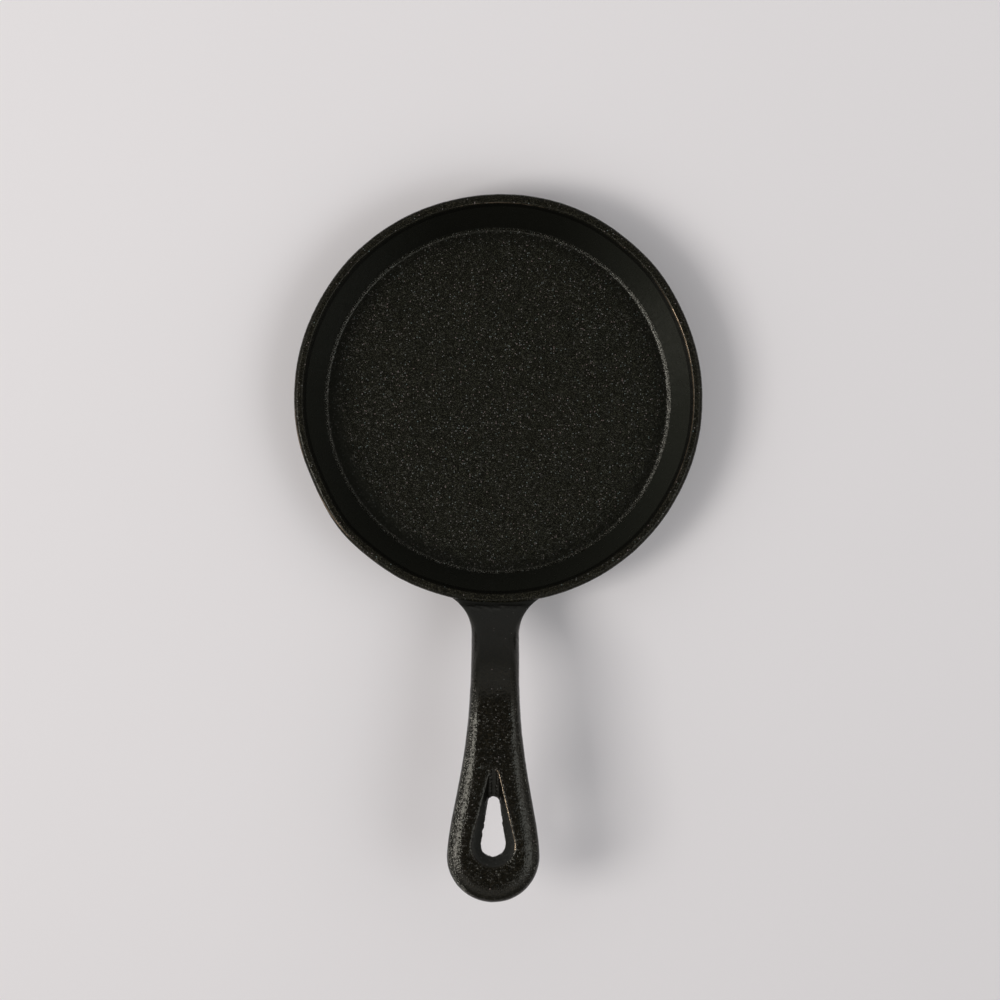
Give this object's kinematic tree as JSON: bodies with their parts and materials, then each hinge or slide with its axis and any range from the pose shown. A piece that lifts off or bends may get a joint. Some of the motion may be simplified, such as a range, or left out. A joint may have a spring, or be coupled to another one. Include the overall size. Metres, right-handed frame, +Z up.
{
  "type": "skillet",
  "caption": "Small round cast iron skillet with flared sides and a raised, arched handle that widens to a teardrop hang hole.",
  "frame": {"origin": "centre of the pan's flat underside, on the surface the skillet stands on", "axes": "+Z up out of the pan, handle along -Y, X across the handle"},
  "size_m": [0.14, 0.2394, 0.0482],
  "materials": {
    "pan_iron": "pre-seasoned, fine cast grain, satin",
    "rim_iron": "pre-seasoned, cast grain, seasoning rubbed thin on the edges",
    "handle_iron": "pre-seasoned, cast grain, satin"
  },
  "bodies": {
    "root": {"pan_floor": "pan_iron", "pan_wall": "pan_iron", "pan_rim": "rim_iron", "handle_root": "handle_iron", "handle_shank": "handle_iron", "handle_grip": "handle_iron"}
  },
  "joints": []
}
